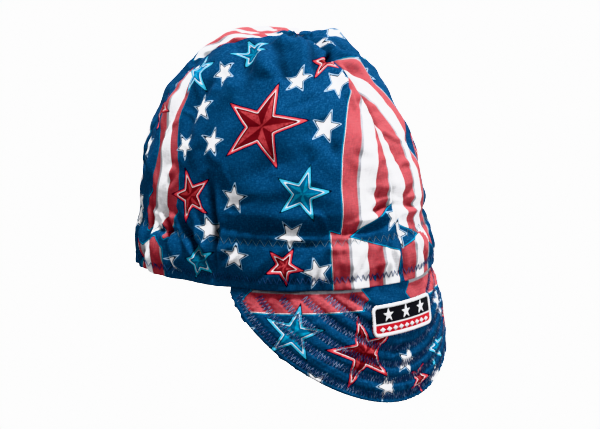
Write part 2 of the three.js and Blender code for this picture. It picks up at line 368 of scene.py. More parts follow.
def dent(angle, height):
    """How far the cloth lies inside the smooth crown, as on the solids."""
    depth = np.zeros_like(angle)
    for turn, spread, level, reach, share in FOLDS:
        aside = bump(wrapped(angle - math.radians(turn)), math.radians(spread))
        depth += FOLD_DEPTH * share * aside * bump(height - level, reach)
    depth += APEX_TUCK * smooth(height, 0.93, 1)
    depth += WAIST_DEPTH * bump(height - (HEM_HEIGHT + HEM_EDGE) / CROWN_HEIGHT, 0.08)
    fade = smooth(height, 0.10, 0.45)
    for seam in (0, back_seam(height), -back_seam(height)):
        depth += SEAM_DEPTH * fade * bump(wrapped(angle - seam), math.radians(9))
    return depth + gathers(angle, height)


def gathers(angle, height):
    """Upright folds that the elastic draws into the back of the hem: sharp valleys, round ridges."""
    start = math.radians(BACK_SEAM_ANGLE - 38)
    back = smooth(np.abs(wrapped(angle)), start, math.radians(BACK_SEAM_ANGLE))
    low = 1 - smooth(height * CROWN_HEIGHT, GATHER_HEIGHT / 4, GATHER_HEIGHT)
    wave = 1 - 2 * np.abs(np.sin(GATHER_COUNT * angle / 2 + 0.5 * np.sin(5 * angle))) ** 0.8
    return GATHER_DEPTH * back * low * wave


def fine_gathers(angle, along, up):
    """Small irregular gathers between the elastic's two rows of stitches."""
    start = math.radians(BACK_SEAM_ANGLE - 36)
    back = smooth(np.abs(wrapped(angle)), start, math.radians(BACK_SEAM_ANGLE - 14))
    top = 37 + 6 * np.sin(along / 5.3) + 3 * np.sin(along / 2.9 + 1)
    low = smooth(up, -3, 5) * (1 - smooth(up, top - 14, top))
    phase = (along + 2.4 * np.sin(along / 9.5) + 1.2 * np.sin(up / 13 + along / 21)) / 7.6
    deep = 1.5 + 0.6 * np.sin(along / 6.4 + 2)
    return deep * back * low * (1 - 2 * np.abs(np.sin(math.pi * phase)) ** 0.8)


def crown_face(angle, place):
    direction = upright(outward(smooth_crown, angle, place), place)
    depth = dent(angle, spline("height", place))
    return smooth_crown(angle, place) - direction * depth[..., None]


def wrinkle_depth(along, up, lines):
    """Depth of wrinkles at points in cloth millimetres: a valley with a low ridge on each side.
    Each wrinkle is a path of points, a width and a depth."""
    depth = np.zeros_like(along)
    for path, width, deep in lines:
        path = np.asarray(path, dtype=float)
        deep = deep * WRINKLE_STRENGTH
        runs = np.diff(path, axis=0)
        lengths = np.hypot(runs[:, 0], runs[:, 1])
        before = np.concatenate([[0], np.cumsum(lengths)])
        nearest = np.full_like(along, 1e9)
        spot = np.zeros_like(along)
        for start, run, length, passed in zip(path[:-1], runs, lengths, before):
            share = ((along - start[0]) * run[0] + (up - start[1]) * run[1]) / length**2
            share = np.clip(share, 0, 1)
            gap = np.hypot(along - start[0] - share * run[0], up - start[1] - share * run[1])
            closer = gap < nearest
            nearest = np.where(closer, gap, nearest)
            spot = np.where(closer, (passed + share * length) / before[-1], spot)
        taper = np.sin(np.pi * np.clip(spot, 0.03, 0.97)) ** 0.6
        reach = nearest / (width * (0.55 + 0.45 * taper))
        shape = np.exp(-reach**2) - 0.28 * bell(reach - 1.9, 0.8)
        depth += deep * taper * shape
    return depth


def pit_depth(angle, height):
    """Depth of the pits, the same on both sides of a seam."""
    depth = np.zeros_like(angle)
    for place, level, turn, long, wide, deep in PITS:
        place, turn = math.radians(place), math.radians(turn)
        base = smooth_crown(np.full(1, place), np.interp([level], HEIGHTS, PLACES))[0]
        radius = math.hypot(base[0], base[1] + APEX_FORWARD * level**3)
        side = wrapped(angle - place) * radius
        rise = (height - level) * CROWN_HEIGHT * (1 + 0.9 * smooth(height, 0.7, 0.9))
        run = (-side * math.cos(turn) + rise * math.sin(turn)) / long
        across = (side * math.sin(turn) + rise * math.cos(turn)) / wide
        depth += deep * np.exp(-run**2 - across**2)
    return depth


def swell(along, up, seed):
    """Slow rise and fall of soft cloth."""
    rng = np.random.default_rng(seed)
    height = np.zeros_like(along)
    for _ in range(14):
        turn, phase = rng.uniform(0, math.tau, 2)
        length = rng.uniform(18, 46)
        travel = along * math.cos(turn) + up * math.sin(turn)
        height += np.sin(math.tau * travel / length + phase) * length / 34
    return height * 0.26


def crumples(seed, box, count):
    """Small random wrinkles in a box of cloth (low along, high along, low up, high up)."""
    rng = np.random.default_rng(seed)
    lines = []
    for _ in range(count):
        start = np.array([rng.uniform(box[0], box[1]), rng.uniform(box[2], box[3])])
        turn = rng.uniform(0, math.pi)
        length = rng.uniform(9, 26)
        run = length * np.array([math.cos(turn), math.sin(turn)])
        sag = rng.uniform(-0.2, 0.2) * np.array([-run[1], run[0]])
        deep = rng.uniform(0.25, 0.75) * rng.choice([-1, 1])
        lines.append(([start, start + run / 2 + sag, start + run], rng.uniform(1.6, 3.6), deep))
    return lines


# Print: distances in cloth millimetres, kept on the vertices, so that edges stay crisp


def star_fields(along, up, stars):
    """Signed distance to the nearest star's edge, and to its facet lines."""
    nearest = np.full_like(along, 40.0)
    facet = np.zeros_like(along)
    sector = math.tau / 5
    for at, size, turn, waist in stars:
        side, rise = along - at[0], up - at[1]
        radius = np.hypot(side, rise)
        swing = (np.arctan2(side, rise) - math.radians(turn) + sector / 2) % sector - sector / 2
        fold = np.abs(swing)
        tip = size / 2
        notch = tip * waist
        edge_x, edge_y = notch * math.cos(sector / 2) - tip, notch * math.sin(sector / 2)
        edge = math.hypot(edge_x, edge_y)
        near = (radius * np.cos(fold) - tip) * edge_y / edge - radius * np.sin(fold) * edge_x / edge
        facet_near = np.sign(swing) * np.minimum(
            radius * np.sin(fold), radius * np.sin(np.maximum(sector / 2 - fold, 0)))
        closer = near < nearest
        facet = np.where(closer, facet_near, facet)
        nearest = np.where(closer, near, nearest)
    return nearest, facet


def stripe_fields(along, up, fields):
    """Signed distance to the stripes' edge, and the place across the stripes in stripe pairs."""
    nearest = np.full_like(along, 60.0)
    across = np.zeros_like(along)
    for at, turn, width, length, point, taper, slant, wave, wave_length in fields:
        turn = math.radians(turn)
        side = (along - at[0]) * math.cos(turn) + (up - at[1]) * math.sin(turn)
        run = (up - at[1]) * math.cos(turn) - (along - at[0]) * math.sin(turn)
        side = side + wave * np.sin(math.tau * run / wave_length)
        place = (side + width / 2) / STRIPE_PAIR
        # Each stripe ends in a point.
        tip = point * np.abs(2 * ((2 * place) % 1) - 1)
        half = width / 2 * (1 - taper * (0.5 + run / length))
        end = np.abs(run) - length / 2 + tip + slant * side * np.sign(run)
        edge = np.maximum(np.abs(side) - half, end * 0.8)
        closer = edge < nearest
        across = np.where(closer, place, across)
        nearest = np.where(closer, edge, nearest)
    return nearest, across


def scattered_stars(seed, box, layout, keep_off):
    """Small stars strewn over the cloth, clear of the larger motifs, the stripes and each other."""
    rng = np.random.default_rng(seed)
    stars = []
    for _ in range(layout["small"] * 60):
        at = (rng.uniform(box[0], box[1]), rng.uniform(box[2], box[3]))
        turn = rng.uniform(-30, 30)
        scale = rng.uniform(0.86, 1.12)
        far = all(math.dist(at, other[0]) > other[1] * 0.44 + SMALL_STAR * 0.55 for other in keep_off)
        apart = all(math.dist(at, other[0]) > layout["spacing"] for other in stars)
        edge, _ = stripe_fields(np.array([at[0]]), np.array([at[1]]), layout["stripes"])
        if far and apart and edge[0] > SMALL_STAR * 0.42:
            stars.append(star(at, SMALL_STAR * scale, turn))
        if len(stars) == layout["small"]:
            break
    return stars


def star(at, size, turn, waist=0.40):
    return at, size, turn, waist


def stripes(at, turn, width, length, point=0.0, taper=0.0, slant=0.0, wave=0.0, wave_length=90.0):
    return at, turn, width, length, point, taper, slant, wave, wave_length


# Print layouts in cloth millimetres: along runs to the viewer's right from the piece's middle,
# up runs from the hem, or down from it on the brim where it is negative. Stars have a middle, a
# size, a turn and a waist. Stripes have a middle, a turn, a width and a length.
LAYOUTS = {
    "right": {
        "red": [star((14, 98), 54, 10, 0.36), star((-34, 52), 33, -22, 0.38), star((-84, 100), 30, 24),
                star((30, 15), 23, 30), star((46, 142), 26, -10)],
        "blue": [star((42, 58), 33, 14, 0.38), star((-46, 126), 30, -16, 0.38), star((-14, 150), 24, 20),
                 star((-26, 14), 22, -16)],
        "stripes": [stripes((92, 122), 0, 52, 158, 0, 0, -0.5), stripes((82, 2), 0, 46, 50, 0, 0, 0.34),
                    stripes((-62, 78), -5, 34.5, 108, 9, 0.45, 0, 3.2, 78.0),
                    stripes((-76, 0), 4, 34.5, 46, 7)],
        "covered": [star((12, 142), 20, 0), star((12, 168), 20, 0), star((-14, 172), 20, 0)],
        "small": 26,
        "spacing": 23.5,
    },
    "left": {
        "red": [star((-40, 60), 46, -12, 0.36), star((24, 100), 50, 16, 0.36), star((80, 40), 30, 0)],
        "blue": [star((-6, 134), 32, -18, 0.38), star((58, 138), 26, 12), star((12, 44), 27, 24)],
        "stripes": [stripes((-84, 92), -7, 57.5, 128, 0, 0, 0.4),
                    stripes((-92, 0), 0, 34.5, 50, 0, 0, -0.3),
                    stripes((62, 82), 6, 34.5, 104, 9, 0.4, 0, 3.5, 84.0), stripes((44, 0), 0, 46, 42, 7)],
        "small": 26,
        "spacing": 23.5,
    },
    "back": {
        "red": [star((-18, 70), 46, 10, 0.36), star((30, 24), 28, -14)],
        "blue": [star((26, 108), 32, 18, 0.38), star((-34, 28), 26, 6)],
        "stripes": [stripes((0, 178), 0, 150, 74, 9), stripes((44, 62), 0, 23, 60, 8)],
        "small": 14,
        "spacing": 24.0,
    },
    "brim": {
        "red": [star((-34, -38), 45, -8, 0.36), star((60, -34), 27, 14), star((12, -62), 19, 20)],
        "blue": [star((-74, -24), 32, 12, 0.38), star((34, -48), 22, -10)],
        "stripes": [stripes((-66, -1), 90, 23, 74, 5), stripes((44, -1), 90, 23, 84, 5)],
        "covered": [star((-15, -20), 46, 0), star((12, -20), 46, 0)],
        "small": 18,
        "spacing": 20.0,
    },
}


# Pieces of cloth


def select_only(piece):
    bpy.ops.object.select_all(action="DESELECT")
    piece.select_set(True)
    bpy.context.view_layer.objects.active = piece


def primitive_points(piece):
    flat = np.empty(len(piece.data.vertices) * 3)
    piece.data.vertices.foreach_get("co", flat)
    return flat.reshape(-1, 3)


def grid_piece(name, columns, rows):
    """A flat grid primitive, with each vertex's share of its width and of its height."""
    bpy.ops.mesh.primitive_grid_add(x_subdivisions=columns, y_subdivisions=rows, size=1.0)
    piece = bpy.context.object
    piece.name = name
    piece.data.name = name
    flat = primitive_points(piece)
    return piece, flat[:, 0] + 0.5, flat[:, 1] + 0.5


def set_points(piece, points):
    piece.data.vertices.foreach_set("co", (points * MM).ravel())
    piece.data.update()


def set_field(piece, name, values):
    layer = piece.data.attributes.new(name, "FLOAT", "POINT")
    layer.data.foreach_set("value", values.ravel().astype(np.float32))


def set_cloth_map(piece, along, up):
    """A UV map in cloth millimetres, for the weave."""
    layer = piece.data.uv_layers.active
    layer.name = "cloth"
    corner = np.empty(len(piece.data.loops), dtype=int)
    piece.data.loops.foreach_get("vertex_index", corner)
    layer.data.foreach_set("uv", np.stack([along[corner], up[corner]], axis=-1).ravel())


def set_print(piece, along, up, name, box):
    """The print's fields on a piece of cloth, kept on its vertices."""
    layout = LAYOUTS[name]
    large = layout["red"] + layout["blue"] + layout.get("covered", [])
    small = scattered_stars(SEEDS[name], box, layout, large)
    set_field(piece, "white_star", star_fields(along, up, small)[0])
    for colour in ("red", "blue"):
        edge, facet = star_fields(along, up, layout[colour])
        set_field(piece, colour + "_star", edge)
        set_field(piece, colour + "_facet", facet)
    edge, place = stripe_fields(along, up, layout["stripes"])
    set_field(piece, "stripe_edge", edge)
    set_field(piece, "stripe_place", place)


def coat(piece, *names):
    for name in names:
        piece.data.materials.append(materials[name])


def give_wall(piece, wall, shares):
    """Thickness grown inward, varied by a share at each vertex."""
    group = piece.vertex_groups.new(name="wall")
    levels = np.round(shares * 50) / 50
    for level in np.unique(levels):
        members = np.nonzero(levels == level)[0].tolist()
        group.add(members, float(level), "REPLACE")
    solid = piece.modifiers.new("wall", "SOLIDIFY")
    solid.thickness = wall * MM
    solid.offset = -1
    solid.use_even_offset = False
    solid.vertex_group = "wall"
    solid.material_offset = 1
    solid.material_offset_rim = 0
    bpy.context.view_layer.objects.active = piece
    bpy.ops.object.modifier_apply(modifier="wall")


def finish_piece(piece, slot, *nodes):
    select_only(piece)
    bpy.ops.object.shade_smooth_by_angle(angle=math.radians(SHARP_ANGLE))
    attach(piece, "root")
    if nodes:
        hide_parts(*nodes)


def climb_steps(total):
    """Heights up the cloth: close together where the hem's edge is round, then one cell apart."""
    edge = np.array([0.0, 0.12, 0.35, 0.7, 1.1, 1.7])
    count = int(round((total - edge[-1]) / CELL))
    return np.concatenate([edge, np.linspace(edge[-1], total, count + 1)[1:]])


def panel_shape(start_seam, end_seam, seed):
    """Grids of one crown panel: points, cloth coordinates and creases.
    Rows run up from the hem, columns from the end seam to the start seam, to the viewer's right."""
    middle = 0.5 * (start_seam(HEIGHTS) + end_seam(HEIGHTS))
    climbed = run_lengths(smooth_crown(middle, PLACES))
    up_line = climb_steps(climbed[-1])
    place = np.interp(up_line, climbed, PLACES)
    height = spline("height", place)
    start, end = start_seam(height), end_seam(height)
    columns = int(round(HEM_RADIUS * (end[0] - start[0]) / CELL))
    share = np.linspace(1, 0, columns + 1)
    centre = np.stack([np.zeros_like(height), -APEX_FORWARD * height**3], axis=-1)
    rim = [np.linalg.norm(smooth_crown(seam, place)[:, :2] - centre, axis=1) for seam in (start, end)]
    start = start + np.arcsin(np.minimum(SEAM_GAP / 2 / rim[0], 0.9))
    end = end - np.arcsin(np.minimum(SEAM_GAP / 2 / rim[1], 0.9))
    angle = start[:, None] + (end - start)[:, None] * share[None, :]
    place, height, up = (np.repeat(line[:, None], columns + 1, axis=1) for line in (place, height, up_line))
    base = smooth_crown(angle, place)
    pace = np.linalg.norm(np.diff(base, axis=1), axis=2)
    along = np.concatenate([np.zeros((len(up_line), 1)), np.cumsum(pace, axis=1)], axis=1)
    from_seam = np.minimum(along, along[:, -1:] - along)
    along = along - along[:, -1:] / 2
    direction = upright(outward(smooth_crown, angle, place), place)
    fine, crease = fine_depth(angle, height, along, up, from_seam, seed)
    depth = dent(angle, height) + fine
    round_edge = np.clip(1 - up / HEM_WALL * 2, 0, 1)
    depth += HEM_WALL / 2 * (1 - np.sqrt(1 - round_edge**2))
    return {"points": base - direction * depth[..., None], "along": along, "up": up, "crease": crease}


def fine_depth(angle, height, along, up, from_seam, seed):
    """Fine relief of a crown panel, from wrinkles and puckers at the seams and stitched rows, and
    how deep in a crease each point lies, for the painted shade that darkens the colour there."""
    degrees = np.degrees(angle)
    inside = smooth(from_seam, 0, 4)
    lines = []
    for points, width, deep in WRINKLES:
        path = []
        for turn, share in points:
            away = (degrees - turn) ** 2 + (180 * (height - share)) ** 2
            nearest = np.unravel_index(np.argmin(away), away.shape)
            if away[nearest] < 6:
                path.append((along[nearest], up[nearest]))
        if len(path) > 1:
            lines.append((path, width, deep))
    half = along[0, -1]
    lines += crumples(seed, (-half, half, 4, up[-1, 0] - 20), 90)
    folds = wrinkle_depth(along, up, lines) * inside + pit_depth(angle, height)
    # Painted shade: the material darkens the colour in these creases.
    crease = smooth(folds, 0.7, 4.2)
    depth = folds + swell(along, up, seed) * inside
    # Small pleats where the panels are drawn together at the apex.
    pleat = 1 - 2 * np.abs(np.sin(7.5 * angle + 0.6 * np.sin(3 * angle)))
    depth += 0.9 * pleat * smooth(height, 0.93, 0.975)
    gathered = fine_gathers(angle, along, up) * inside
    # The gathers' valleys are also darkened in the colour, as painted shade.
    crease = np.maximum(crease, 0.6 * smooth(gathered, 0.3, 1.6))
    depth += gathered
    # The seam itself is a narrow valley, and the cloth puckers beside it.
    seam = bell(from_seam, 1.5) * smooth(up, 0, 3)
    depth += 0.9 * seam
    # The seam's valley is also darkened in the colour, as painted shade.
    crease = np.maximum(crease, 0.5 * seam)
    drift = 1.4 * np.sin(up / 13 + seed) + 0.9 * np.sin(up / 5.7)
    pucker = np.sin(math.tau * (up + drift) / 8.5)
    depth += 0.32 * pucker * bell(from_seam - 3.5, 4.5) * smooth(up, 34, 50)
    # Stitched rows press the cloth down and pucker it.
    for row in HEM_ROWS:
        gap = up - row["height"]
        drift = 1.6 * np.sin(along / 17 + seed) + 0.8 * np.sin(along / 6.1 + 2)
        ripple = np.sin(math.tau * (along + drift) / row["pucker"])
        depth += 0.55 * bell(gap, 2.6)
        depth += 0.34 * ripple * bell(gap, 6.0)
        # The row is also darkened in the colour, as painted shade.
        crease = np.maximum(crease, 0.3 * bell(gap, 2.4))
    return depth, crease


def crown_piece(side, start_seam, end_seam):
    shape = panel_shape(start_seam, end_seam, SEEDS[side])
    rows, columns = (count - 1 for count in shape["up"].shape)
    piece, across, climb = grid_piece("crown_" + side + "_cloth", columns, rows)
    column = np.rint(across * columns).astype(int)
    row = np.rint(climb * rows).astype(int)
    along, up = shape["along"][row, column], shape["up"][row, column]
    set_points(piece, shape["points"][row, column])
    set_cloth_map(piece, along, up)
    half, top = along.max(), up.max()
    set_print(piece, along, up, side, (-half, half, 6, top - 14))
    doubled = 1 - smooth(up, HEM_HEIGHT - 0.6, HEM_HEIGHT + 0.4)
    set_field(piece, "doubled", doubled)
    set_field(piece, "crease", shape["crease"][row, column])
    coat(piece, "crown_print", "crown_reverse")
    give_wall(piece, HEM_WALL, (CLOTH_WALL + (HEM_WALL - CLOTH_WALL) * doubled) / HEM_WALL)
    finish_piece(piece, "crown_cloth", "crown_" + side)
    shape["normals"] = grid_normals(shape["points"])
    return shape


def grid_normals(points):
    right = np.gradient(points, axis=1)
    above = np.gradient(points, axis=0)
    return unit(np.cross(right, above))


def on_panel(shape, along, up, lift):
    """A point on a finished panel, at cloth coordinates, raised by lift."""
    rows = shape["up"][:, 0]
    row = float(np.interp(up, rows, np.arange(len(rows))))
    low = min(int(row), len(rows) - 2)
    mix = row - low
    line = shape["along"][low] * (1 - mix) + shape["along"][low + 1] * mix
    column = float(np.interp(along, line, np.arange(len(line))))
    left = min(int(column), len(line) - 2)
    part = column - left
    out = []
    for grid in (shape["points"], shape["normals"]):
        lower = grid[low, left] * (1 - part) + grid[low, left + 1] * part
        upper = grid[low + 1, left] * (1 - part) + grid[low + 1, left + 1] * part
        out.append(lower * (1 - mix) + upper * mix)
    return out[0] + unit(out[1]) * lift


# Brim form


def brim_face(side, drop):
    """The outer face of the plain brim: side goes from -1 to 1, drop down from the hem."""
    angle = side * math.radians(BRIM_ANGLE / 2)
    place = np.interp(np.maximum(-drop, 0), HEIGHTS * CROWN_HEIGHT, PLACES)
    direction = outward(smooth_crown, angle, place)
    point = crown_face(angle, place) - direction * (HEM_WALL + BRIM_GAP)
    level = unit(direction * np.array([1.0, 1.0, 0.0]))
    turn = np.minimum(np.abs(angle) / math.radians(BRIM_SIDE_ANGLE), 2)
    stand = BRIM_FRONT_OUT + BRIM_SIDE_OUT * np.sin(turn * math.pi / 2) ** 2
    below = np.maximum(drop, 0)
    out = stand * (1 - np.exp(-below / BRIM_BEND))
    point = point + level * out[..., None]
    point[..., 2] -= below
    return point


def brim_drop(side):
    return BRIM_END + (BRIM_LENGTH - BRIM_END) * np.maximum(1 - side * side, 0) ** BRIM_CRESCENT


def brim_outward(side, drop):
    step = 0.01
    across = brim_face(side + step, drop) - brim_face(side - step, drop)
    down = brim_face(side, drop + 0.5) - brim_face(side, drop - 0.5)
    return unit(np.cross(across, down))


def hem_half_length():
    """Half the hem's length along the brim."""
    sides = np.linspace(0, 1, 201)
    line = brim_face(sides, np.zeros_like(sides))
    return np.linalg.norm(np.diff(line, axis=0), axis=1).sum()


def edge_line():
    """The brim's free edge in cloth millimetres, evenly spaced, with its inward direction."""
    sides = np.linspace(-1, 1, EDGE_SAMPLES)
    line = np.stack([sides * BRIM_HALF, -brim_drop(sides)], axis=-1)
    steps = run_lengths(line)
    even = np.linspace(0, steps[-1], int(steps[-1]) + 1)
    line = np.stack([np.interp(even, steps, line[:, k]) for k in range(2)], axis=-1)
    run = np.gradient(line, axis=0)
    inward = unit(np.stack([-run[:, 1], run[:, 0]], axis=-1))
    return line, inward


def from_edge(along, up):
    """Distance from the brim's free edge, and the place along that edge, in cloth millimetres."""
    line, _ = EDGE
    nearest = np.full_like(along, 1e9)
    place = np.zeros_like(along)
    for number, point in enumerate(line):
        gap = (along - point[0]) ** 2 + (up - point[1]) ** 2
        closer = gap < nearest
        nearest = np.where(closer, gap, nearest)
        place = np.where(closer, number, place)
    return np.sqrt(nearest), place


def quilt_relief(along, up, inset, place):
    """Height of the quilted surface over the plain one, with puffs between the stitched rows, and
    how deep in a crease each point lies, for the painted shade that darkens the colour there."""
    phase = (inset - QUILT_FIRST) / QUILT_PITCH
    row = np.clip(np.rint(phase), 0, QUILT_ROWS - 1)
    away = np.abs(phase - row) * QUILT_PITCH
    drift = 1.5 * np.sin(place / 9.0 + row) + 0.9 * np.sin(place / 4.1 + 2 * row)
    ripple = np.sin(math.tau * (place + drift) / 3.7)
    half = QUILT_WIDTH / 2 + 0.55 * ripple
    puff = smooth(away, half * 0.72, half + 1.1)
    # The wadding is flatter toward the sides.
    quilted = 1 - smooth(phase, QUILT_ROWS - 1.1, QUILT_ROWS - 0.2)
    quilted = quilted * (1 - 0.68 * smooth(np.abs(along), 30, 68))
    relief = -QUILT_SINK * (1 - puff) * quilted
    relief += 0.30 * ripple * bell(away - half, 1.7) * quilted
    band = np.floor(phase)
    pleat = np.sin(math.tau * (place + 2.2 * np.sin(place / 5.7 + 3 * band)) / 4.3 + band * 2)
    relief += 0.30 * pleat * puff * quilted
    relief += 0.22 * np.sin(place / 7.0 + 1.3 * np.sin(inset / 7.0)) * np.sin(inset / 5.0 + place / 23.0)
    wrinkles = wrinkle_depth(along, up, BRIM_WRINKLES + crumples(BRIM_CRUMPLE_SEED, (-80, 80, -66, -6), 50))
    # Painted shade: a dark line along each edge of the stitched rows.
    crease = 0.35 * bell(away - half, 0.9) * quilted
    return relief - wrinkles * 0.55, np.maximum(crease, smooth(wrinkles, 0.7, 3.2))


def brim_point(along, up, relief, lift=0.0):
    """A point on the quilted face of the brim at cloth coordinates."""
    side = np.clip(along / BRIM_HALF, -1, 1)
    raised = relief * smooth(-up, -1, 5) + lift
    return brim_face(side, -up) + brim_outward(side, -up) * raised[..., None]


def brim_piece():
    columns = int(round(2 * BRIM_HALF / BRIM_CELL))
    hang = int(round(BRIM_LENGTH / BRIM_CELL))
    tuck = int(round(BRIM_TUCK / BRIM_CELL))
    piece, across, climb = grid_piece("brim_cloth", columns, hang + tuck)
    # Columns run to the viewer's right, which is toward the wearer's left.
    side = 1 - 2 * across
    row = climb * (hang + tuck)
    share = np.clip(row / hang, 0, 1)
    # Closer rows near the free edge, where the cloth turns round it.
    eased = share - 0.10 * np.sin(math.pi * share) * (1 - share)
    drop = np.where(row <= hang, brim_drop(side) * (1 - eased), -BRIM_TUCK * (row - hang) / tuck)
    along = side * BRIM_HALF
    up = -drop
    inset, place = from_edge(along, up)
    relief, crease = quilt_relief(along, up, inset, place)
    round_edge = np.sqrt(np.clip(1 - (1 - np.minimum(inset / 1.7, 1)) ** 2, 0.03, 1))
    inward = brim_outward(side, drop) * (BRIM_WALL / 2 * (1 - round_edge))[..., None]
    set_points(piece, brim_point(along, up, relief) - inward)
    set_cloth_map(piece, -along, up)
    set_print(piece, -along, up, "brim", (-BRIM_HALF + 6, BRIM_HALF - 6, -BRIM_LENGTH + 6, -10))
    set_field(piece, "crease", crease)
    coat(piece, "brim_print", "brim_print")
    thin = 1 - 0.35 * (1 - smooth(relief, -0.8, 0.0))
    give_wall(piece, BRIM_WALL, np.clip(round_edge * thin, 0.06, 1))
    finish_piece(piece, "brim_cloth", "brim")


# Thread


def zigzag(length, pitch, width):
    """Thread path along a row: (along, aside, lift) with a low point at each needle hole."""
    holes = int(round(length / pitch * 2))
    path = []
    for stitch in range(holes):
        start_side = 0.5 - (stitch % 2)
        for k in range(4):
            share = k / 4
            along = (stitch + share) * pitch / 2
            aside = width * (start_side * (1 - 2 * share))
            lift = -0.10 + 0.34 * math.sin(math.pi * share) ** 0.6
            path.append((along, aside, lift))
    path.append((holes * pitch / 2, width * (0.5 - (holes % 2)), -0.10))
    return path


def thread_piece(name, paths, slot, material, diameter):
    """Threads along paths of points, as one mesh of thin tubes."""
    curve = bpy.data.curves.new(name, "CURVE")
    curve.dimensions = "3D"
    curve.bevel_depth = diameter / 2 * MM
    curve.bevel_resolution = 1
    curve.use_fill_caps = True
    for path in paths:
        run = curve.splines.new("POLY")
        run.points.add(len(path) - 1)
        flat = np.concatenate([np.array(path) * MM, np.ones((len(path), 1))], axis=1)
        run.points.foreach_set("co", flat.ravel())
    piece = bpy.data.objects.new(name, curve)
    bpy.context.collection.objects.link(piece)
    select_only(piece)
    bpy.ops.object.convert(target="MESH")
    piece = bpy.context.object
    piece.data.materials.clear()
    coat(piece, material)
    finish_piece(piece, slot)


def hem_threads(shapes):
    for row in HEM_ROWS:
        paths = []
        for shape in shapes:
            half = shape["along"][0, -1] - 0.4
            paths.append([on_panel(shape, -half + along, row["height"] + aside, lift)
                          for along, aside, lift in zigzag(2 * half, row["pitch"], row["width"])])
        name = "hem_thread_" + row["name"]
        thread_piece(name, paths, "crown_cloth", name, row["thread"])


def quilt_threads():
    line, inward = EDGE
    paths = []
    for number in range(QUILT_ROWS):
        inset = QUILT_FIRST + number * QUILT_PITCH
        row = line + inward * inset
        keep = (row[:, 1] < -2.5) & (from_edge(row[:, 0], row[:, 1])[0] > inset - 0.6)
        row, turn = row[keep], inward[keep]
        steps = run_lengths(row)
        made = np.array(zigzag(steps[-1] - 1, QUILT_ZIG, QUILT_WIDTH))
        spot, lean = (np.stack([np.interp(made[:, 0], steps, grid[:, k]) for k in range(2)], axis=-1)
                      for grid in (row, turn))
        x, y = (spot + unit(lean) * made[:, 1:2]).T
        paths.append(brim_point(x, y, quilt_relief(x, y, *from_edge(x, y))[0], made[:, 2]))
    thread_piece("quilt_thread", paths, "brim_cloth", "quilt_thread", QUILT_THREAD)


# Materials


def group_tree(name, inputs, outputs):
    """A shader node group with named sockets."""
    tree = bpy.data.node_groups.new(name, "ShaderNodeTree")
    for label, kind, value in inputs:
        socket = tree.interface.new_socket(label, in_out="INPUT", socket_type=kind)
        if value is not None:
            socket.default_value = value
    for label, kind in outputs:
        tree.interface.new_socket(label, in_out="OUTPUT", socket_type=kind)
    return tree, tree.nodes.new("NodeGroupInput"), tree.nodes.new("NodeGroupOutput")


def plug(tree, socket, value):
    """Sets a socket to a value, or links another socket to it."""
    if isinstance(value, bpy.types.NodeSocket):
        tree.links.new(value, socket)
    elif socket.type == "RGBA":
        socket.default_value = (*value, 1.0)
    else:
        socket.default_value = value


def fill(tree, node, **values):
    """Fills a node's sockets by label, where an underscore stands for a space."""
    for label, value in values.items():
        plug(tree, node.inputs[label.replace("_", " ")], value)
    return node


def add_node(tree, kind, **values):
    return fill(tree, tree.nodes.new(kind), **values)


def math_node(tree, operation, *values, clamp=False):
    node = tree.nodes.new("ShaderNodeMath")
    node.operation = operation
    node.use_clamp = clamp
    for socket, value in zip(node.inputs, values):
        plug(tree, socket, value)
    return node.outputs[0]


def mask_below(tree, value, edge, soft):
    """1 where a value lies below an edge, with a soft step."""
    node = add_node(tree, "ShaderNodeMapRange", Value=value, From_Min=edge - soft,
                    From_Max=edge + soft, To_Min=1.0, To_Max=0.0)
    node.interpolation_type = "SMOOTHSTEP"
    return node.outputs["Result"]


def mix_colour(tree, factor, first, second):
    node = tree.nodes.new("ShaderNodeMix")
    node.data_type = "RGBA"
    # The colour sockets share their labels with others, so they are found by number.
    for number, value in ((0, factor), (6, first), (7, second)):
        plug(tree, node.inputs[number], value)
    return node.outputs[2]


def attribute(tree, name):
    node = tree.nodes.new("ShaderNodeAttribute")
    node.attribute_name = name
    return node.outputs["Fac"]


def srgb(red, green, blue):
    """A linear colour from the eight-bit values of a picture."""
    def linear(value):
        share = value / 255
        return share / 12.92 if share <= 0.04045 else ((share + 0.055) / 1.055) ** 2.4
    return linear(red), linear(green), linear(blue)


INK = {
    "navy": srgb(14, 56, 92),
    "navy_deep": srgb(8, 40, 72),
    "navy_light": srgb(50, 98, 140),
    "red": srgb(163, 84, 90),
    "red_deep": srgb(140, 62, 68),
    "star_red": srgb(162, 66, 70),
    "star_red_dark": srgb(94, 28, 32),
    "star_red_light": srgb(206, 78, 86),
    "white": srgb(238, 238, 241),
    "grey": srgb(146, 146, 152),
    "pale": srgb(150, 180, 206),
    "star_sky": srgb(24, 138, 178),
    "star_sky_dark": srgb(10, 84, 122),
    "star_sky_light": srgb(70, 172, 206),
    "outline": srgb(8, 12, 24),
    "reverse": srgb(150, 162, 182),
}


PRINT_FIELDS = [
    "White Star", "Red Star", "Red Facet", "Blue Star", "Blue Facet", "Stripe Edge", "Stripe Place"]


